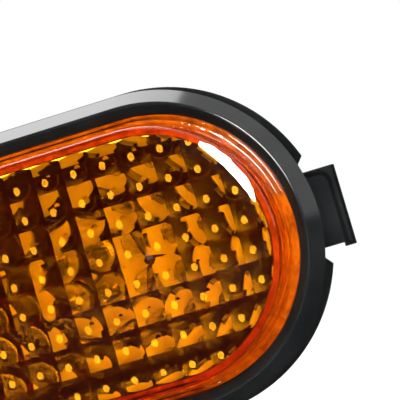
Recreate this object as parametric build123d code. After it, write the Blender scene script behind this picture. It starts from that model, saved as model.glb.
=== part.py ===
"""Oval amber side marker lamp, in millimetres.

Every piece is drawn in plan first: the length of the lamp along X, and its height over the panel along Z, with
the panel face at Z = 0. The finished pieces are turned so that the lens looks along -Y and Z points up.
"""

import os
from math import ceil, sqrt

from build123d import *

# Plan of the lamp: two round ends joined by straight sides
CAP_SPACING = 24.0

# Bezel: each width is a step inwards from the skirt, which alone sets the distance from the middle line
SKIRT_RADIUS = 22.25
SKIRT_WALL = 1.8
SKIRT_DRAFT = 0.35
SKIRT_HEIGHT = 4.5
OUTER_SLOPE_WIDTH = 1.7
OUTER_SLOPE_RISE = 2.9
RIDGE_ROUNDING = 0.3
INNER_SLOPE_WIDTH = 1.4
INNER_SLOPE_DROP = 1.6
LEDGE_WIDTH = 2.9
LEDGE_DROP = 2.2
LEDGE_THICKNESS = 1.6

# Pan behind the panel
PAN_DRAFT = 0.6
PAN_WALL = 1.7
PAN_DEPTH = 22.6
PAN_FLOOR_THICKNESS = 2.2
PAN_INNER_ROUNDING = 3.0
PAN_OUTER_ROUNDING = 4.0

# Notch in the skirt over the hook
NOTCH_TOP_WIDTH = 12.6
NOTCH_BOTTOM_WIDTH = 14.8

# Hook that goes behind the panel edge
HOOK_OVERHANG = 1.9
HOOK_WIDTH = 10.4
HOOK_THICKNESS = 1.7
HOOK_RIM_HEIGHT = -1.1
HOOK_RIM_RISE = 0.8
HOOK_RIM_WIDTH = 0.45
HOOK_SIDE_RIM = 0.2
HOOK_POCKET_ROUNDING = 1.8
HOOK_FOOT_LENGTH = 1.3
HOOK_FOOT_OVERHANG = 0.55
HOOK_RIB_SPACING = 6.6
HOOK_RIB_THICKNESS = 1.5
HOOK_RIB_DEPTH = 6.5

# Lens
LENS_GAP = 0.15
LENS_RIM_ROUNDING = 0.3
LENS_FLANGE_WIDTH = 1.15
LENS_FLANGE_DROP = 0.8
LENS_GROOVE_ROUNDING = 0.35
LENS_WALL_HEIGHT = 6.3
LENS_WALL_DRAFT = 0.3
LENS_WALL = 1.25
LENS_EDGE_ROUNDING = 0.5
LENS_BEVEL_WIDTH = 1.5
LENS_BEVEL_RISE = 0.65
LENS_BEVEL_ROUNDING = 7.0
LENS_CROWN_RISE = 0.7
LENS_INNER_ROUNDING = 1.0

# Pillow optics on the inside of the lens
PILLOW_PITCH = 4.0
PILLOW_SPHERE = 5.2
PILLOW_DEPTH = 2.9

# Panel gasket
GASKET_GAP = 0.1
GASKET_PROUD = 0.8

# Spring clip at the end opposite the hook
CLIP_SEAT_INSET = 0.6
CLIP_WIDTH = 8.0
CLIP_THICKNESS = 0.5
CLIP_BEND = 1.2
CLIP_REAR_HEIGHT = -20.2
CLIP_KNEE_HEIGHT = -14.0
CLIP_APEX_RISE = 4.3
CLIP_APEX_HEIGHT = -7.0
CLIP_FRONT_RISE = 0.5
CLIP_FRONT_HEIGHT = -1.0
CLIP_SIDE_GAP = 0.4
STUD_RADIUS = 1.4
STUD_GAP = 0.1
STUD_HEAD_RADIUS = 2.2
STUD_HEAD_THICKNESS = 0.7
STUD_HEIGHT = -17.2

# Bulb port in the pan floor
PORT_RADIUS = 10.2
PORT_GAP = 0.08
BOSS_RADIUS = 15.2
BOSS_RISE = 1.5
LUG_COUNT = 3
LUG_RADIUS = 12.2
LUG_ANGLE = 36.0
LUG_THICKNESS = 1.7
LUG_GAP = 0.1
NOTCH_MARGIN_ANGLE = 3.0
TWIST_ANGLE = 45.0
STOP_ANGLE = 8.0
STOP_GAP_ANGLE = 1.0

# Seal and holder
SEAL_INNER_RADIUS = 12.8
SEAL_OUTER_RADIUS = 14.6
SEAL_THICKNESS = 1.8
FLANGE_RADIUS = 15.4
FLANGE_THICKNESS = 2.2
HOLDER_FRONT_RISE = 2.0
GRIP_LENGTH = 26.0
GRIP_THICKNESS = 3.2
GRIP_DEPTH = 7.0
SHROUD_LENGTH = 16.0
SHROUD_WIDTH = 11.4
SHROUD_WALL = 1.5
SHROUD_DEPTH = 12.7
SOCKET_DEPTH = 9.5
SHROUD_ROUNDING = 1.2
LATCH_WIDTH = 4.0
LATCH_RISE = 1.1
LATCH_LENGTH = 2.6
LATCH_SETBACK = 3.0

# Wedge-base bulb
BULB_RADIUS = 5.1
BULB_GLASS = 0.6
BULB_LENGTH = 26.6
BASE_WIDTH = 9.2
BASE_THICKNESS = 2.5
BASE_DEPTH = 7.2
BULB_BOTTOM_ROUNDING = 2.0
LEAD_RADIUS = 0.22
LEAD_SPACING = 5.2
LEAD_TIP_SPACING = 4.6
LEAD_FOLD = 4.0
FILAMENT_DEPTH = 9.4
FILAMENT_RADIUS = 0.3
SLOT_LENGTH = 9.8

# Contacts
CONTACT_WIDTH = 2.6
CONTACT_THICKNESS = 0.6
CONTACT_TOP_SETBACK = 1.6
BLADE_SPACING = 6.4
BLADE_SETBACK = 1.5

# Distances from the middle line that follow from the values above
cap = CAP_SPACING / 2
skirt_inside = SKIRT_RADIUS - SKIRT_WALL
crease_radius = SKIRT_RADIUS - SKIRT_DRAFT
ridge_radius = crease_radius - OUTER_SLOPE_WIDTH
mouth_radius = ridge_radius - INNER_SLOPE_WIDTH
pan_mouth_radius = mouth_radius - LEDGE_WIDTH
pan_floor_radius = pan_mouth_radius - PAN_DRAFT
pan_outside = pan_mouth_radius + PAN_WALL
lens_rim_radius = mouth_radius - LENS_GAP
lens_groove_radius = lens_rim_radius - LENS_FLANGE_WIDTH
lens_edge_radius = lens_groove_radius - LENS_WALL_DRAFT
lens_face_radius = lens_edge_radius - LENS_BEVEL_WIDTH
lens_inner_radius = lens_edge_radius - LENS_WALL
holder_radius = PORT_RADIUS - PORT_GAP

# Heights over the panel that follow from the values above
ridge_height = SKIRT_HEIGHT + OUTER_SLOPE_RISE
mouth_height = ridge_height - INNER_SLOPE_DROP
ledge_top = mouth_height - LEDGE_DROP
channel_roof = ledge_top - LEDGE_THICKNESS
lens_groove_height = mouth_height - LENS_FLANGE_DROP
lens_edge_height = lens_groove_height + LENS_WALL_HEIGHT
lens_face_height = lens_edge_height + LENS_BEVEL_RISE
lens_crown_height = lens_face_height + LENS_CROWN_RISE
floor_top = -PAN_DEPTH
floor_back = floor_top - PAN_FLOOR_THICKNESS
boss_back = floor_back - BOSS_RISE
flange_top = boss_back - SEAL_THICKNESS
flange_back = flange_top - FLANGE_THICKNESS
holder_front = floor_top + HOLDER_FRONT_RISE
shroud_back = flange_back - SHROUD_DEPTH


def block(x_limits, y_limits, z_limits):
    """A box between three pairs of limits."""
    limits = (x_limits, y_limits, z_limits)
    sizes = [high - low for low, high in limits]
    middles = [(low + high) / 2 for low, high in limits]
    return Pos(*middles) * Box(*sizes)


def disc(radius, bottom, top):
    """An upright cylinder on the middle axis of the lamp."""
    return Pos(0, 0, (bottom + top) / 2) * Cylinder(radius, top - bottom)


def sector(inner, outer, start, sweep, bottom, top):
    """Part of a ring about the middle axis, from a start angle over a sweep."""
    face = Pos((inner + outer) / 2, (bottom + top) / 2) * Rectangle(outer - inner, top - bottom)
    return Rot(0, 0, start) * revolve(Plane.XZ * face, Axis.Z, sweep)


def section(*corners):
    """A closed outline of (radius, height) corners, where a third value rounds that corner."""
    outline = Face(Wire.make_polygon([corner[:2] for corner in corners], close=True))
    for corner in corners:
        if len(corner) == 3:
            nearest = outline.vertices().sort_by_distance((corner[0], corner[1], 0))[0]
            outline = outline.fillet_2d(corner[2], [nearest])
    return outline


def stadium(outline):
    """Carry a section of radius and height right round the plan of the lamp."""
    face = Rot(0, 0, -90) * (Plane.XZ * outline)
    end = Pos(cap, 0, 0) * revolve(face, Axis.Z, 180)
    side = Pos(-cap, 0, 0) * extrude(face, amount=CAP_SPACING, dir=(1, 0, 0))
    half = end + side
    return half + Rot(0, 0, 180) * half


def stadium_plate(radius, bottom, top):
    """A flat plate with the plan of the lamp at one radius."""
    outline = SlotCenterToCenter(CAP_SPACING, 2 * radius)
    return Pos(0, 0, bottom) * extrude(outline, amount=top - bottom)


def wire_through(points, radius):
    """A round wire along straight stretches between points, with ball corners."""
    corners = [Vector(*point) for point in points]
    wire = Part()
    for start, finish in zip(corners, corners[1:]):
        run = finish - start
        wire += Part(Solid.make_cylinder(radius, run.length, Plane(start, z_dir=run)).wrapped)
    for corner in corners[1:-1]:
        wire += Pos(*corner) * Sphere(radius)
    return wire


# Housing: bezel, skirt, lens ledge and pan are one moulding
housing = stadium(
    section(
        (0, floor_back),
        (pan_floor_radius + PAN_WALL, floor_back, PAN_OUTER_ROUNDING),
        (pan_outside, channel_roof),
        (skirt_inside, channel_roof),
        (skirt_inside, 0),
        (SKIRT_RADIUS, 0),
        (crease_radius, SKIRT_HEIGHT),
        (ridge_radius, ridge_height, RIDGE_ROUNDING),
        (mouth_radius, mouth_height),
        (mouth_radius, ledge_top),
        (pan_mouth_radius, ledge_top),
        (pan_floor_radius, floor_top, PAN_INNER_ROUNDING),
        (0, floor_top),
    )
)

# The notch leaves the skirt open over the hook, with slanted ends
notch_outline = Polygon(
    (-NOTCH_BOTTOM_WIDTH / 2, 0),
    (NOTCH_BOTTOM_WIDTH / 2, 0),
    (NOTCH_TOP_WIDTH / 2, SKIRT_HEIGHT),
    (-NOTCH_TOP_WIDTH / 2, SKIRT_HEIGHT),
    align=None,
)
notch = extrude(Plane.YZ * notch_outline, amount=cap + SKIRT_RADIUS + 1)
housing -= notch - stadium_plate(skirt_inside, -1, SKIRT_HEIGHT + 1)

# The hook is a flat tongue with a raised rim round its end and a small foot at one corner
hook_tip = cap + SKIRT_RADIUS + HOOK_OVERHANG
pan_wall_middle = pan_mouth_radius + PAN_WALL / 2
hook_back = HOOK_RIM_HEIGHT - HOOK_RIM_RISE - HOOK_THICKNESS
hook_half = HOOK_WIDTH / 2
hook_root = sqrt(pan_wall_middle**2 - hook_half**2) + cap
hook = block((hook_root, hook_tip), (-hook_half, hook_half), (hook_back, HOOK_RIM_HEIGHT))
pocket_end = hook_tip - HOOK_RIM_WIDTH
pocket_side = hook_half - HOOK_SIDE_RIM
pocket_outline = Face(
    Wire.make_polygon(
        [(cap, -HOOK_WIDTH), (pocket_end, -HOOK_WIDTH), (pocket_end, pocket_side), (cap, pocket_side)],
        close=True,
    )
)
pocket_corner = pocket_outline.vertices().sort_by_distance((pocket_end, pocket_side, 0))[0]
pocket_outline = pocket_outline.fillet_2d(HOOK_POCKET_ROUNDING, [pocket_corner])
hook -= extrude(Pos(0, 0, HOOK_RIM_HEIGHT) * pocket_outline, amount=-HOOK_RIM_RISE, taper=40)
hook += block(
    (hook_tip - HOOK_FOOT_LENGTH, hook_tip),
    (-hook_half - HOOK_FOOT_OVERHANG, -hook_half),
    (hook_back, HOOK_RIM_HEIGHT - HOOK_RIM_RISE),
)
rib_outline = Polygon(
    (hook_root, hook_back),
    (hook_tip - HOOK_FOOT_LENGTH, hook_back),
    (hook_root, hook_back - HOOK_RIB_DEPTH),
    align=None,
)
rib = extrude(Plane.XZ * rib_outline, amount=HOOK_RIB_THICKNESS / 2, both=True)
for side in (-1, 1):
    hook += Pos(0, side * HOOK_RIB_SPACING / 2, 0) * rib
housing += hook - stadium_plate(pan_wall_middle, 2 * hook_back - HOOK_RIB_DEPTH, 0)

# Flat seat and stud for the spring clip
clip_face = CLIP_SEAT_INSET - pan_outside - cap
seat_half = CLIP_WIDTH / 2 + CLIP_SIDE_GAP
seat_limits = (CLIP_REAR_HEIGHT - CLIP_SIDE_GAP, 0)
housing -= block((clip_face - PAN_WALL, clip_face), (-seat_half, seat_half), seat_limits)
seat_pad = block((clip_face, -cap), (-seat_half, seat_half), seat_limits)
housing += seat_pad - stadium_plate(pan_floor_radius + PAN_WALL / 2, seat_limits[0] - 1, 1)
stud_plane = Plane((clip_face, 0, STUD_HEIGHT), z_dir=(-1, 0, 0))
stud = stud_plane * Pos(0, 0, CLIP_THICKNESS / 2) * Cylinder(STUD_RADIUS, CLIP_THICKNESS)
stud_head_middle = CLIP_THICKNESS + STUD_HEAD_THICKNESS / 2
stud += stud_plane * Pos(0, 0, stud_head_middle) * Cylinder(STUD_HEAD_RADIUS, STUD_HEAD_THICKNESS)
housing += stud

# Bulb port with a raised seat, lug notches and stops
housing += disc(BOSS_RADIUS, boss_back, floor_top - PAN_FLOOR_THICKNESS / 2)
housing -= disc(PORT_RADIUS, boss_back, floor_top)
lug_top = floor_top + LUG_GAP + LUG_THICKNESS
notch_sweep = LUG_ANGLE + 2 * NOTCH_MARGIN_ANGLE
notch_radius = LUG_RADIUS + PORT_GAP
for lug in range(LUG_COUNT):
    middle = 90 + lug * 360 / LUG_COUNT
    open_start = middle - TWIST_ANGLE - notch_sweep / 2
    housing -= sector(PORT_RADIUS - 1, notch_radius, open_start, notch_sweep, boss_back - 1, floor_top + 1)
    locked_stop = middle + LUG_ANGLE / 2 + STOP_GAP_ANGLE
    open_stop = open_start - STOP_ANGLE
    for start in (locked_stop, open_stop):
        housing += sector(PORT_RADIUS + PORT_GAP, LUG_RADIUS, start, STOP_ANGLE, floor_top - 1, lug_top)

# Lens: flange, groove, side wall, bevelled edge and crown, hollow behind, with pillows inside
lens_rim = (lens_rim_radius, mouth_height)
lens_groove = (lens_groove_radius, lens_groove_height)
lens_edge = (lens_edge_radius, lens_edge_height)
face_edge = (lens_face_radius, lens_face_height)
crown_top = (0, lens_crown_height)
crown_sphere = (lens_face_radius**2 + LENS_CROWN_RISE**2) / (2 * LENS_CROWN_RISE)
crown_mid_radius = lens_face_radius / 2
crown_mid_height = lens_crown_height - crown_sphere + sqrt(crown_sphere**2 - crown_mid_radius**2)
lens_outline = Face(
    Wire(
        [
            Edge.make_line((0, ledge_top), (lens_rim_radius, ledge_top)),
            Edge.make_line((lens_rim_radius, ledge_top), lens_rim),
            Edge.make_line(lens_rim, lens_groove),
            Edge.make_line(lens_groove, lens_edge),
            Edge.make_line(lens_edge, face_edge),
            Edge.make_three_point_arc(face_edge, (crown_mid_radius, crown_mid_height), crown_top),
            Edge.make_line(crown_top, (0, ledge_top)),
        ]
    )
)
lens_roundings = (
    (lens_rim, LENS_RIM_ROUNDING),
    (lens_groove, LENS_GROOVE_ROUNDING),
    (lens_edge, LENS_EDGE_ROUNDING),
    (face_edge, LENS_BEVEL_ROUNDING),
)
for corner, rounding in lens_roundings:
    nearest = lens_outline.vertices().sort_by_distance((*corner, 0))[0]
    lens_outline = lens_outline.fillet_2d(rounding, [nearest])
lens = stadium(lens_outline)
half_pitch = PILLOW_PITCH / 2
pillow_tip = lens_crown_height - PILLOW_DEPTH
pillow_centre = pillow_tip + PILLOW_SPHERE
pillow_root = pillow_centre - sqrt(PILLOW_SPHERE**2 - 2 * half_pitch**2)
lens -= stadium(
    section(
        (0, ledge_top - 1),
        (lens_inner_radius, ledge_top - 1),
        (lens_inner_radius, pillow_root, LENS_INNER_ROUNDING),
        (0, pillow_root),
    )
)
cell_limits = (-half_pitch, half_pitch)
pillow = Pos(0, 0, pillow_centre) * Sphere(PILLOW_SPHERE)
pillow &= block(cell_limits, cell_limits, (pillow_tip - 1, pillow_root))
field = stadium_plate(lens_inner_radius, pillow_tip - 1, pillow_root)
pillow_columns = ceil(2 * (cap + lens_inner_radius) / PILLOW_PITCH)
pillow_rows = ceil(2 * lens_inner_radius / PILLOW_PITCH)
cells = []
for column in range(pillow_columns):
    for row in range(pillow_rows):
        x = (column - (pillow_columns - 1) / 2) * PILLOW_PITCH
        y = (row - (pillow_rows - 1) / 2) * PILLOW_PITCH
        beyond_cap = max(abs(x) + half_pitch - cap, 0)
        reach = sqrt(beyond_cap**2 + (abs(y) + half_pitch) ** 2)
        cell = Pos(x, y, 0) * pillow
        if reach > lens_inner_radius:
            cell = cell & field
        if cell:
            cells += cell.solids()
lens = lens.fuse(*cells)

# Panel gasket: foam that stands a little proud of the skirt until the panel squeezes it
gasket = stadium_plate(skirt_inside - GASKET_GAP, -GASKET_PROUD, channel_roof)
gasket -= stadium_plate(pan_outside + GASKET_GAP, -GASKET_PROUD, channel_roof)

# Spring clip: one bent strip with a hole for the stud
seat_line = clip_face - CLIP_THICKNESS / 2
clip_path = FilletPolyline(
    (seat_line, CLIP_REAR_HEIGHT),
    (seat_line, CLIP_KNEE_HEIGHT),
    (clip_face - CLIP_APEX_RISE, CLIP_APEX_HEIGHT),
    (clip_face - CLIP_FRONT_RISE, CLIP_FRONT_HEIGHT),
    radius=CLIP_BEND,
)
clip = extrude(Plane.XZ * trace(clip_path, CLIP_THICKNESS), amount=CLIP_WIDTH / 2, both=True)
clip -= stud_plane * Cylinder(STUD_RADIUS + STUD_GAP, 4 * CLIP_THICKNESS)

# Seal ring under the flange of the bulb holder
seal = disc(SEAL_OUTER_RADIUS, flange_top, boss_back) - disc(SEAL_INNER_RADIUS, flange_top, boss_back)

# Bulb: hollow glass on a flat base, two lead wires and the filament between them
base_bottom = holder_front - BASE_DEPTH
bulb_tip = base_bottom + BULB_LENGTH
bulb_shoulder = bulb_tip - BULB_RADIUS
bulb_bottom = holder_front + 2 * BULB_GLASS
envelope_body = disc(BULB_RADIUS, bulb_bottom, bulb_shoulder)
envelope_body = fillet(envelope_body.edges().group_by(Axis.Z)[0], BULB_BOTTOM_ROUNDING)
envelope = envelope_body + Pos(0, 0, bulb_shoulder) * Sphere(BULB_RADIUS)
envelope += block(
    (-BASE_WIDTH / 2, BASE_WIDTH / 2),
    (-BASE_THICKNESS / 2, BASE_THICKNESS / 2),
    (base_bottom, bulb_bottom + BULB_BOTTOM_ROUNDING),
)
hollow_radius = BULB_RADIUS - BULB_GLASS
hollow_bottom = bulb_bottom + BULB_BOTTOM_ROUNDING
hollow = disc(hollow_radius, hollow_bottom, bulb_shoulder)
hollow += Pos(0, 0, bulb_shoulder) * Sphere(hollow_radius)
envelope -= hollow
filament_height = bulb_tip - FILAMENT_DEPTH
fold_y = BASE_THICKNESS / 2 + LEAD_RADIUS
fold_z = base_bottom - LEAD_RADIUS
lead_x = LEAD_SPACING / 2
lead = wire_through(
    [
        (lead_x, fold_y, base_bottom + LEAD_FOLD),
        (lead_x, fold_y, fold_z),
        (lead_x, 0, fold_z),
        (lead_x, 0, hollow_bottom),
        (LEAD_TIP_SPACING / 2, 0, filament_height + LEAD_RADIUS),
    ],
    LEAD_RADIUS,
)
turned_lead = Rot(0, 0, 180) * lead
envelope = envelope - lead - turned_lead
filament = Pos(0, 0, filament_height) * Rot(0, 90, 0) * Cylinder(FILAMENT_RADIUS, LEAD_TIP_SPACING)
filament = filament - lead - turned_lead

# Contacts: a strip on each side of the bulb base, folded to a blade in the socket
contact_inside = fold_y + LEAD_RADIUS
slot_half = contact_inside + CONTACT_THICKNESS
slot_bottom = fold_z - LEAD_RADIUS
blade_x = BLADE_SPACING / 2
blade_limits = (blade_x - CONTACT_THICKNESS / 2, blade_x + CONTACT_THICKNESS / 2)
blade_half = CONTACT_WIDTH / 2
strip_top = holder_front - CONTACT_TOP_SETBACK
web_top = slot_bottom - CONTACT_THICKNESS
web_bottom = web_top - CONTACT_WIDTH
contact = block(
    (lead_x - blade_half, lead_x + blade_half), (contact_inside, slot_half), (web_bottom, strip_top)
)
contact += block(blade_limits, (-blade_half, slot_half), (web_bottom, web_top))
contact += block(blade_limits, (-blade_half, blade_half), (shroud_back + BLADE_SETBACK, web_top))
turned_contact = Rot(0, 0, 180) * contact

# Bulb holder: spigot with lugs, flange, finger grips and the socket for the harness plug
holder = disc(holder_radius, flange_top, holder_front)
holder += disc(FLANGE_RADIUS, flange_back, flange_top)
for lug in range(LUG_COUNT):
    start = 90 + lug * 360 / LUG_COUNT - LUG_ANGLE / 2
    holder += sector(holder_radius - 1, LUG_RADIUS, start, LUG_ANGLE, floor_top + LUG_GAP, lug_top)
holder += block(
    (-GRIP_LENGTH / 2, GRIP_LENGTH / 2),
    (-GRIP_THICKNESS / 2, GRIP_THICKNESS / 2),
    (flange_back - GRIP_DEPTH, flange_back),
)
shroud_face = RectangleRounded(SHROUD_LENGTH, SHROUD_WIDTH, SHROUD_ROUNDING)
holder += Pos(0, 0, shroud_back) * extrude(shroud_face, amount=SHROUD_DEPTH)
latch_side = SHROUD_WIDTH / 2
latch_outline = Polygon(
    (latch_side, shroud_back + LATCH_SETBACK),
    (latch_side + LATCH_RISE, shroud_back + LATCH_SETBACK + LATCH_LENGTH),
    (latch_side, shroud_back + LATCH_SETBACK + LATCH_LENGTH),
    align=None,
)
holder += extrude(Plane.YZ * latch_outline, amount=LATCH_WIDTH / 2, both=True)
socket_face = Rectangle(SHROUD_LENGTH - 2 * SHROUD_WALL, SHROUD_WIDTH - 2 * SHROUD_WALL)
holder -= Pos(0, 0, shroud_back) * extrude(socket_face, amount=SOCKET_DEPTH)
holder -= block((-SLOT_LENGTH / 2, SLOT_LENGTH / 2), (-slot_half, slot_half), (slot_bottom, holder_front))
holder = holder - contact - turned_contact

pieces = {
    "housing": housing,
    "lens": lens,
    "panel_gasket": gasket,
    "spring_clip": clip,
    "holder_seal": seal,
    "bulb_holder": holder,
    "contact_right": contact,
    "contact_left": turned_contact,
    "bulb_envelope": envelope,
    "lead_right": lead,
    "lead_left": turned_lead,
    "filament": filament,
}

# Turned so that the lens faces -Y, then one file for each piece
os.makedirs("parts", exist_ok=True)
for name, piece in pieces.items():
    export_step(Rot(90, 0, 0) * piece, f"parts/{name}.step")
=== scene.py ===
"""Looks of the oval amber side marker lamp, in metres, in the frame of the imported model."""

from math import radians

import bpy
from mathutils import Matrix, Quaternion, Vector


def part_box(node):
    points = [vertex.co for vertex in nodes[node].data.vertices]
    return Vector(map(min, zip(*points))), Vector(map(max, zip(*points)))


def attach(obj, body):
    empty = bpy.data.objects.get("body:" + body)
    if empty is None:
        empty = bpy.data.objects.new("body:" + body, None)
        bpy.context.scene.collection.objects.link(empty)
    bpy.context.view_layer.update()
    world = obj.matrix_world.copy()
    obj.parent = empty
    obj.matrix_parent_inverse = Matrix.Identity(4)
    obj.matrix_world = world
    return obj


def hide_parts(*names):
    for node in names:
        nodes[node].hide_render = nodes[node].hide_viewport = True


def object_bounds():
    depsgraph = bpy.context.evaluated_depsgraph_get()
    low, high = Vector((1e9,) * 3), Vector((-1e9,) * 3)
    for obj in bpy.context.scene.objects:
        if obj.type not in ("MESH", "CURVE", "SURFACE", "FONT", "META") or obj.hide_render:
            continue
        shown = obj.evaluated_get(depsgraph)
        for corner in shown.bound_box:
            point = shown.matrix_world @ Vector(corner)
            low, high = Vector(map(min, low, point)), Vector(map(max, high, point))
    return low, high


# Camera at the photograph's place, with a long lens and a roll
CAMERA_PLACE = Vector((0.09127, -0.32385, 0.00108))
CAMERA_AIM = Vector((0.01945, -0.006, 0.00557))
CAMERA_ROLL = radians(-16.57)
CAMERA_FOCAL = 224.2
CAMERA_SENSOR = 36.0
CAMERA_NEAR = 0.01

# Floor, surroundings and dark boards
FLOOR_DROP = 0.02
FLOOR_SIZE = 8.0
FLOOR_COLOUR = (0.9, 0.9, 0.9)
BOARD_DISTANCE = 1.2
BOARD_SIZE = 2.4
FRONT_BOARD_SIZE = 5.0
BOARD_COLOUR = (0.01, 0.01, 0.01)
LOW_BOARD_LIFT = 0.005
STAGE_ROUGHNESS = 0.9
WORLD_FILL = 0.5
WORLD_WHITE = 1.0

# Lights, with directions as seen from the lamp
SOFTBOX_DISTANCE = 0.7
KEY_DIRECTION = Vector((0.18, -0.92, 0.349))
KEY_SIZE = (0.36, 0.5)
KEY_POWER = 19.0
EDGE_DIRECTION = Vector((0.35, -0.86, 0.36))
EDGE_SIZE = (0.2, 0.36)
EDGE_POWER = 13.0
SUN_DIRECTION = Vector((-0.26, 0.52, 0.81))
SUN_STRENGTH = 2.4
SUN_WIDTH = radians(50)

# Weld band where the lens joins the housing
WELD_INNER_RADIUS = 0.0161
WELD_OUTER_RADIUS = 0.0186
WELD_BURY = 0.00004
WELD_THICKNESS = 0.00003
CAP_CENTRE = 0.012
ROUND_STEPS = 128

# Coil of the bulb
COIL_WIRE_RADIUS = 0.00005
COIL_WIRE_SIDES = 10
COIL_RADIUS = 0.00025
COIL_TURNS = 18
COIL_STEPS = 16
COIL_SMOOTH_ANGLE = radians(50)

# Noise of moulded skins and of drawn metal
NOISE_LIMITS = (0.3, 0.7)
GRAIN_DETAIL = 3.0
GRAIN_ROUGHNESS = 0.6
FLOW_DETAIL = 2.0
FLOW_DISTORTION = 0.6
LINE_SCALE_ALONG = 150.0
LINE_SCALE_ACROSS = 9000.0
LINE_DETAIL = 3.0
LINE_RELIEF = (0.000006, 0.5)
CLOUD_SCALE = 400.0
CLOUD_DETAIL = 2.0

# Moulded finishes: scales of grain and flow, two shades, limits of roughness, depth and strength of the grain
BLACK_SCALES = (5000.0, 120.0)
BLACK_SHADES = ((0.0035, 0.0038, 0.004), (0.0065, 0.007, 0.0072))
BLACK_ROUGHNESS = (0.13, 0.2)
BLACK_RELIEF = (0.000002, 0.2)
WELD_SCALES = (2500.0, 700.0)
WELD_SHADES = ((0.2, 0.04, 0.0015), (0.5, 0.2, 0.006))
WELD_ROUGHNESS = (0.5, 0.8)
WELD_RELIEF = (0.00002, 1.0)
RUBBER_SCALES = (3000.0, 260.0)
RUBBER_SHADES = ((0.018, 0.018, 0.018), (0.045, 0.045, 0.046))
RUBBER_ROUGHNESS = (0.55, 0.75)
RUBBER_RELIEF = (0.00001, 0.6)
NYLON_SCALES = (2200.0, 140.0)
NYLON_SHADES = ((0.5, 0.46, 0.37), (0.58, 0.54, 0.45))
NYLON_ROUGHNESS = (0.38, 0.52)
NYLON_RELIEF = (0.000012, 0.6)

# Clear amber of the lens and clear glass of the bulb
CLEAR_ROUGHNESS = (0.0, 0.02)
AMBER_SCALES = (900.0, 60.0)
AMBER_SHADES = ((1.0, 0.75, 0.06), (1.0, 0.79, 0.08))
AMBER_BEND = 1.58
AMBER_SHEEN = 0.014
AMBER_SHEEN_ROUGHNESS = 1.0
AMBER_SHEEN_TINT = (1.0, 0.08, 0.015, 1.0)
AMBER_DEPTH_COLOUR = (0.99, 0.66, 0.05, 1.0)
AMBER_DEPTH_DENSITY = 400.0
GLASS_SCALES = (500.0, 180.0)
GLASS_SHADES = ((0.95, 0.97, 0.96), (0.99, 0.99, 0.99))
GLASS_BEND = 1.5

# Closed-cell foam of the gasket
FOAM_CELL_SCALE = 2600.0
FOAM_CELL_LIMITS = (0.1, 0.6)
FOAM_SHADES = ((0.06, 0.06, 0.062), (0.018, 0.018, 0.019))
FOAM_ROUGHNESS = 0.9
FOAM_RELIEF = (0.0001, 0.8)

# Bare metals: two shades and limits of roughness
BRASS_SHADES = ((0.68, 0.47, 0.19), (0.82, 0.62, 0.3))
BRASS_ROUGHNESS = (0.2, 0.34)
LEAD_SHADES = ((0.5, 0.48, 0.45), (0.66, 0.64, 0.61))
LEAD_ROUGHNESS = (0.25, 0.4)
SPRING_SHADES = ((0.52, 0.52, 0.53), (0.7, 0.7, 0.71))
SPRING_ROUGHNESS = (0.4, 0.56)
TUNGSTEN_SHADES = ((0.2, 0.2, 0.21), (0.34, 0.34, 0.35))
TUNGSTEN_ROUGHNESS = (0.35, 0.5)

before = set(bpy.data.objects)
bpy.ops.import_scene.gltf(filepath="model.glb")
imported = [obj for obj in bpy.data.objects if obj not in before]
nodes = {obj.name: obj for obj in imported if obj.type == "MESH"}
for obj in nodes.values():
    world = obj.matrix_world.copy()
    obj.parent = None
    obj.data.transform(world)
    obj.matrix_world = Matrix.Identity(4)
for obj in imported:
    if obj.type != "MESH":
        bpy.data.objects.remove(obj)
cad_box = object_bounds()
lens_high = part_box("lens")[1]
filament_low, filament_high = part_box("filament")


# Shader node helpers


def new_material(name):
    """A node material with its tree and its Principled shader."""
    material = bpy.data.materials.new(name)
    material.use_nodes = True
    tree = material.node_tree
    return material, tree, tree.nodes["Principled BSDF"]


def add_node(tree, kind, **settings):
    """A node of one kind with its settings."""
    node = tree.nodes.new(kind)
    for key, value in settings.items():
        setattr(node, key, value)
    return node


def set_inputs(node, **values):
    """Plain values for a node's inputs, where an underscore in a name stands for a space."""
    for key, value in values.items():
        node.inputs[key.replace("_", " ")].default_value = value


def shade(tree, shader, value, shades, limits=NOISE_LIMITS):
    """A base colour that goes from one shade to another with a value."""
    node = add_node(tree, "ShaderNodeValToRGB")
    for element, position, colour in zip(node.color_ramp.elements, limits, shades):
        element.position = position
        element.color = (*colour, 1)
    tree.links.new(value, node.inputs["Fac"])
    tree.links.new(node.outputs["Color"], shader.inputs["Base Color"])


def span(tree, value, results, limits=NOISE_LIMITS):
    """A number that goes from one result to another while a value goes between its limits."""
    node = add_node(tree, "ShaderNodeMapRange")
    set_inputs(node, From_Min=limits[0], From_Max=limits[1], To_Min=results[0], To_Max=results[1])
    tree.links.new(value, node.inputs["Value"])
    return node.outputs["Result"]


def roughen(tree, shader, value, roughness):
    """A roughness that changes with a value."""
    tree.links.new(span(tree, value, roughness), shader.inputs["Roughness"])


def bump(tree, shader, height, relief):
    """Surface relief of a real depth and a strength from a height between 0 and 1."""
    node = add_node(tree, "ShaderNodeBump")
    depth, strength = relief
    set_inputs(node, Strength=strength, Distance=depth)
    tree.links.new(height, node.inputs["Height"])
    tree.links.new(node.outputs["Normal"], shader.inputs["Normal"])


def group_shell(name, inputs, outputs):
    """An empty node group with named number inputs and outputs."""
    group = bpy.data.node_groups.new(name, "ShaderNodeTree")
    for label in inputs:
        group.interface.new_socket(label, in_out="INPUT", socket_type="NodeSocketFloat")
    for label in outputs:
        group.interface.new_socket(label, in_out="OUTPUT", socket_type="NodeSocketFloat")
    return group, group.nodes.new("NodeGroupInput"), group.nodes.new("NodeGroupOutput")


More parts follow.
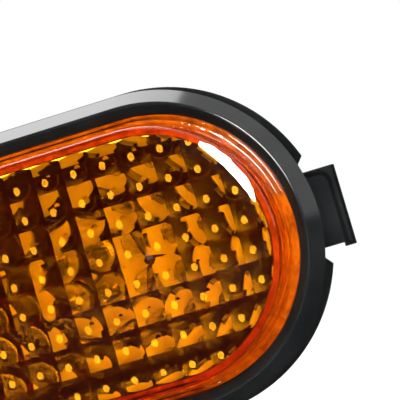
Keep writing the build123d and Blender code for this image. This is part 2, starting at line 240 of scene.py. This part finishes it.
def moulded_skin_group():
    """Fine grain and slow flow marks of a moulded piece."""
    group, start, end = group_shell("moulded_skin", ("Grain Scale", "Flow Scale"), ("Grain", "Flow"))
    place = add_node(group, "ShaderNodeTexCoord")
    grain = add_node(group, "ShaderNodeTexNoise")
    set_inputs(grain, Detail=GRAIN_DETAIL, Roughness=GRAIN_ROUGHNESS)
    flow = add_node(group, "ShaderNodeTexNoise")
    set_inputs(flow, Detail=FLOW_DETAIL, Distortion=FLOW_DISTORTION)
    for label, texture in (("Grain", grain), ("Flow", flow)):
        group.links.new(place.outputs["Object"], texture.inputs["Vector"])
        group.links.new(start.outputs[f"{label} Scale"], texture.inputs["Scale"])
        group.links.new(texture.outputs["Fac"], end.inputs[label])
    return group


def drawn_lines_group():
    """Long fine lines of drawn wire and rolled strip, along one axis."""
    group, start, end = group_shell("drawn_lines", ("Across X", "Across Y", "Across Z"), ("Lines", "Cloud"))
    place = add_node(group, "ShaderNodeTexCoord")
    stretch = add_node(group, "ShaderNodeCombineXYZ")
    scaled = add_node(group, "ShaderNodeVectorMath", operation="MULTIPLY")
    lines = add_node(group, "ShaderNodeTexNoise")
    set_inputs(lines, Scale=1.0, Detail=LINE_DETAIL)
    cloud = add_node(group, "ShaderNodeTexNoise")
    set_inputs(cloud, Scale=CLOUD_SCALE, Detail=CLOUD_DETAIL)
    for axis in "XYZ":
        group.links.new(start.outputs[f"Across {axis}"], stretch.inputs[axis])
    group.links.new(place.outputs["Object"], scaled.inputs[0])
    group.links.new(stretch.outputs["Vector"], scaled.inputs[1])
    group.links.new(scaled.outputs["Vector"], lines.inputs["Vector"])
    group.links.new(place.outputs["Object"], cloud.inputs["Vector"])
    group.links.new(lines.outputs["Fac"], end.inputs["Lines"])
    group.links.new(cloud.outputs["Fac"], end.inputs["Cloud"])
    return group


moulded_skin = moulded_skin_group()
drawn_lines = drawn_lines_group()


def place_group(tree, group, **values):
    """The outputs of a node group in a material, with this material's own values."""
    node = add_node(tree, "ShaderNodeGroup", node_tree=group)
    set_inputs(node, **values)
    return node.outputs


def moulded_material(name, scales, shades):
    """A material with a moulded skin, coloured by its flow marks."""
    material, tree, shader = new_material(name)
    grain_scale, flow_scale = scales
    skin = place_group(tree, moulded_skin, Grain_Scale=grain_scale, Flow_Scale=flow_scale)
    shade(tree, shader, skin["Flow"], shades)
    return material, tree, shader, skin


# Finishes


def black_plastic_finish():
    """Satin black moulding with slow flow marks."""
    material, tree, shader, skin = moulded_material("black_plastic", BLACK_SCALES, BLACK_SHADES)
    roughen(tree, shader, skin["Flow"], BLACK_ROUGHNESS)
    bump(tree, shader, skin["Grain"], BLACK_RELIEF)
    return material


def amber_finish():
    """Clear amber moulding, polished, redder where it is thick."""
    material, tree, shader, skin = moulded_material("amber_lens", AMBER_SCALES, AMBER_SHADES)
    roughen(tree, shader, skin["Grain"], CLEAR_ROUGHNESS)
    set_inputs(shader, IOR=AMBER_BEND, Transmission_Weight=1.0)
    set_inputs(shader, Sheen_Weight=AMBER_SHEEN, Sheen_Tint=AMBER_SHEEN_TINT)
    set_inputs(shader, Sheen_Roughness=AMBER_SHEEN_ROUGHNESS)
    absorption = add_node(tree, "ShaderNodeVolumeAbsorption")
    set_inputs(absorption, Color=AMBER_DEPTH_COLOUR, Density=AMBER_DEPTH_DENSITY)
    tree.links.new(absorption.outputs["Volume"], tree.nodes["Material Output"].inputs["Volume"])
    return material


def weld_finish():
    """Rough melted amber of the weld."""
    material, tree, shader, skin = moulded_material("amber_weld", WELD_SCALES, WELD_SHADES)
    roughen(tree, shader, skin["Grain"], WELD_ROUGHNESS)
    bump(tree, shader, skin["Grain"], WELD_RELIEF)
    return material


def foam_finish():
    """Dark closed-cell foam."""
    material, tree, shader = new_material("foam")
    place = add_node(tree, "ShaderNodeTexCoord")
    cells = add_node(tree, "ShaderNodeTexVoronoi")
    set_inputs(cells, Scale=FOAM_CELL_SCALE)
    tree.links.new(place.outputs["Object"], cells.inputs["Vector"])
    shade(tree, shader, cells.outputs["Distance"], FOAM_SHADES, FOAM_CELL_LIMITS)
    set_inputs(shader, Roughness=FOAM_ROUGHNESS)
    bump(tree, shader, cells.outputs["Distance"], FOAM_RELIEF)
    return material


def rubber_finish():
    """Black rubber with a dull bloom."""
    material, tree, shader, skin = moulded_material("rubber", RUBBER_SCALES, RUBBER_SHADES)
    roughen(tree, shader, skin["Flow"], RUBBER_ROUGHNESS)
    bump(tree, shader, skin["Grain"], RUBBER_RELIEF)
    return material


def nylon_finish():
    """Natural nylon, beige with a soft sheen."""
    material, tree, shader, skin = moulded_material("natural_nylon", NYLON_SCALES, NYLON_SHADES)
    roughen(tree, shader, skin["Grain"], NYLON_ROUGHNESS)
    bump(tree, shader, skin["Grain"], NYLON_RELIEF)
    return material


def metal_finish(name, shades, roughness, along):
    """Bare metal with drawing lines along one axis."""
    material, tree, shader = new_material(name)
    scales = {f"Across_{axis}": LINE_SCALE_ACROSS for axis in "XYZ"}
    scales[f"Across_{along}"] = LINE_SCALE_ALONG
    marks = place_group(tree, drawn_lines, **scales)
    shade(tree, shader, marks["Cloud"], shades)
    roughen(tree, shader, marks["Lines"], roughness)
    set_inputs(shader, Metallic=1.0)
    bump(tree, shader, marks["Lines"], LINE_RELIEF)
    return material


def glass_finish():
    """Clear bulb glass with faint waves."""
    material, tree, shader, skin = moulded_material("clear_glass", GLASS_SCALES, GLASS_SHADES)
    roughen(tree, shader, skin["Grain"], CLEAR_ROUGHNESS)
    set_inputs(shader, IOR=GLASS_BEND, Transmission_Weight=1.0)
    return material


# New pieces


def start_piece():
    """Nothing selected and no piece in edit mode."""
    if bpy.context.object and bpy.context.object.mode != "OBJECT":
        bpy.ops.object.mode_set(mode="OBJECT")
    bpy.ops.object.select_all(action="DESELECT")


def select_vertices(piece, chosen):
    """In edit mode, only the vertices that a test chooses are selected."""
    bpy.ops.mesh.select_all(action="DESELECT")
    bpy.ops.object.mode_set(mode="OBJECT")
    for vertex in piece.data.vertices:
        vertex.select = chosen(vertex.co)
    bpy.ops.object.mode_set(mode="EDIT")


def add_weld(material):
    """Band of melted amber in the foot of the lens, on the housing's ledge."""
    start_piece()
    level = lens_high.y - WELD_BURY
    bpy.ops.mesh.primitive_circle_add(vertices=ROUND_STEPS, radius=WELD_OUTER_RADIUS, fill_type="NOTHING")
    weld = bpy.context.object
    weld.name = "lens_weld"
    bpy.ops.object.mode_set(mode="EDIT")
    bpy.ops.mesh.select_all(action="SELECT")
    bpy.ops.transform.rotate(value=radians(180 / ROUND_STEPS), orient_axis="Z", center_override=(0, 0, 0))
    bpy.ops.transform.rotate(value=radians(90), orient_axis="X", center_override=(0, 0, 0))
    bpy.ops.transform.translate(value=(0, level, 0))
    bpy.ops.mesh.extrude_edges_move()
    shrink = WELD_INNER_RADIUS / WELD_OUTER_RADIUS
    bpy.ops.transform.resize(value=(shrink, 1, shrink), center_override=(0, level, 0))
    for side in (-1, 1):
        select_vertices(weld, lambda co: co.x * side > 0)
        bpy.ops.transform.translate(value=(side * CAP_CENTRE, 0, 0))
    bpy.ops.mesh.select_all(action="SELECT")
    bpy.ops.mesh.extrude_region_move(TRANSFORM_OT_translate={"value": (0, -WELD_THICKNESS, 0)})
    bpy.ops.mesh.select_all(action="SELECT")
    bpy.ops.mesh.normals_make_consistent(inside=False)
    bpy.ops.object.mode_set(mode="OBJECT")
    weld.data.materials.append(material)
    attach(weld, "lamp")


def add_coil(material):
    """Coiled wire of the filament between its two leads."""
    start_piece()
    middle = (filament_low + filament_high) / 2
    length = filament_high.x - filament_low.x
    bpy.ops.mesh.primitive_circle_add(vertices=COIL_WIRE_SIDES, radius=COIL_WIRE_RADIUS, fill_type="NOTHING")
    coil = bpy.context.object
    coil.name = "filament_coil"
    bpy.ops.object.mode_set(mode="EDIT")
    bpy.ops.mesh.select_all(action="SELECT")
    bpy.ops.transform.translate(value=(0, COIL_RADIUS, 0))
    bpy.ops.object.mode_set(mode="OBJECT")
    screw = coil.modifiers.new("winding", "SCREW")
    screw.axis = "X"
    screw.steps = COIL_STEPS
    screw.render_steps = COIL_STEPS
    screw.iterations = COIL_TURNS
    screw.screw_offset = length / COIL_TURNS
    bpy.ops.object.modifier_apply(modifier="winding")
    bpy.ops.object.mode_set(mode="EDIT")
    bpy.ops.mesh.select_all(action="SELECT")
    bpy.ops.mesh.fill_holes(sides=0)
    bpy.ops.mesh.select_all(action="SELECT")
    bpy.ops.mesh.normals_make_consistent(inside=False)
    bpy.ops.transform.translate(value=(middle.x - length / 2, middle.y, middle.z))
    bpy.ops.object.mode_set(mode="OBJECT")
    bpy.ops.object.shade_smooth_by_angle(angle=COIL_SMOOTH_ANGLE)
    coil.data.materials.append(material)
    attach(coil, "holder")
    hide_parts("filament")


# Stage


def look_along(direction):
    """Turn of a lamp or camera that looks along a direction, with Z kept upright."""
    return direction.to_track_quat("-Z", "Y")


def add_camera():
    """The photograph's camera."""
    data = bpy.data.cameras.new("photo_camera")
    data.lens = CAMERA_FOCAL
    data.sensor_width = CAMERA_SENSOR
    data.clip_start = CAMERA_NEAR
    camera = bpy.data.objects.new("photo_camera", data)
    camera.location = CAMERA_PLACE
    camera.rotation_mode = "QUATERNION"
    roll = Quaternion((0, 0, 1), CAMERA_ROLL)
    camera.rotation_quaternion = look_along(CAMERA_AIM - CAMERA_PLACE) @ roll
    bpy.context.collection.objects.link(camera)
    bpy.context.scene.camera = camera


def add_light(name, kind, power, direction):
    """A light that looks at the middle of the part from a direction."""
    data = bpy.data.lights.new(name, kind)
    data.energy = power
    lamp = bpy.data.objects.new(name, data)
    lamp.rotation_mode = "QUATERNION"
    lamp.rotation_quaternion = look_along(-direction)
    bpy.context.collection.objects.link(lamp)
    return lamp


def add_softbox(name, direction, size, power, in_gloss):
    """A round softbox that shows in gloss only, or in everything but gloss."""
    lamp = add_light(name, "AREA", power, direction)
    lamp.location = direction.normalized() * SOFTBOX_DISTANCE
    lamp.data.shape = "ELLIPSE"
    lamp.data.size, lamp.data.size_y = size
    lamp.visible_glossy = in_gloss
    lamp.visible_diffuse = not in_gloss
    lamp.visible_transmission = not in_gloss


def add_sun():
    """A broad soft sun from above and behind, even over the whole floor."""
    lamp = add_light("overhead_sun", "SUN", SUN_STRENGTH, SUN_DIRECTION)
    lamp.data.angle = SUN_WIDTH


def stage_plane(name, size, place, turn, colour):
    """A flat matt board of the stage."""
    start_piece()
    bpy.ops.mesh.primitive_plane_add(size=size, location=place, rotation=turn)
    board = bpy.context.object
    board.name = name
    material, tree, shader = new_material(f"{name}_paint")
    set_inputs(shader, Base_Color=(*colour, 1), Roughness=STAGE_ROUGHNESS, Specular_IOR_Level=0.0)
    board.data.materials.append(material)
    return board


def add_boards():
    """Pale floor, and dark boards that only gloss and clear pieces show."""
    floor_level = cad_box[0][2] - FLOOR_DROP
    level = (0, 0, 0)
    upright = (radians(90), 0, 0)
    stage_plane("floor", FLOOR_SIZE, (0, 0, floor_level), level, FLOOR_COLOUR)
    boards = (
        ("front_board", FRONT_BOARD_SIZE, (0, -BOARD_DISTANCE, 0), upright),
        ("back_board", BOARD_SIZE, (BOARD_DISTANCE / 2, BOARD_DISTANCE, -BOARD_DISTANCE / 2), upright),
        ("low_board", BOARD_SIZE, (0, 0, floor_level + LOW_BOARD_LIFT), level),
    )
    for name, size, place, turn in boards:
        board = stage_plane(name, size, place, turn, BOARD_COLOUR)
        board.visible_camera = False
        board.visible_diffuse = False
        board.visible_shadow = False


def set_world():
    """White for what the camera, gloss and glass see, and a softer level for the fill light."""
    world = bpy.data.worlds.new("studio")
    world.use_nodes = True
    tree = world.node_tree
    background = tree.nodes["Background"]
    set_inputs(background, Color=(1, 1, 1, 1))
    path = add_node(tree, "ShaderNodeLightPath")
    seen = path.outputs["Is Camera Ray"]
    for ray in ("Is Glossy Ray", "Is Transmission Ray"):
        either = add_node(tree, "ShaderNodeMath", operation="MAXIMUM")
        tree.links.new(seen, either.inputs[0])
        tree.links.new(path.outputs[ray], either.inputs[1])
        seen = either.outputs[0]
    level = span(tree, seen, (WORLD_FILL, WORLD_WHITE), (0, 1))
    tree.links.new(level, background.inputs["Strength"])
    bpy.context.scene.world = world


brass = metal_finish("brass", BRASS_SHADES, BRASS_ROUGHNESS, "Y")
lead_wire = metal_finish("lead_wire", LEAD_SHADES, LEAD_ROUGHNESS, "Y")
finishes = {
    "housing": black_plastic_finish(),
    "lens": amber_finish(),
    "panel_gasket": foam_finish(),
    "spring_clip": metal_finish("spring_steel", SPRING_SHADES, SPRING_ROUGHNESS, "Y"),
    "holder_seal": rubber_finish(),
    "bulb_holder": nylon_finish(),
    "contact_right": brass,
    "contact_left": brass,
    "bulb_envelope": glass_finish(),
    "lead_right": lead_wire,
    "lead_left": lead_wire,
    "filament": metal_finish("tungsten", TUNGSTEN_SHADES, TUNGSTEN_ROUGHNESS, "X"),
}
for name, material in finishes.items():
    node = nodes[name]
    node.data.materials.clear()
    node.data.materials.append(material)

add_weld(weld_finish())
add_coil(finishes["filament"])
add_camera()
add_boards()
set_world()
add_softbox("key_softbox", KEY_DIRECTION, KEY_SIZE, KEY_POWER, in_gloss=False)
add_softbox("edge_softbox", EDGE_DIRECTION, EDGE_SIZE, EDGE_POWER, in_gloss=True)
add_sun()
bpy.context.scene.view_settings.view_transform = "Standard"
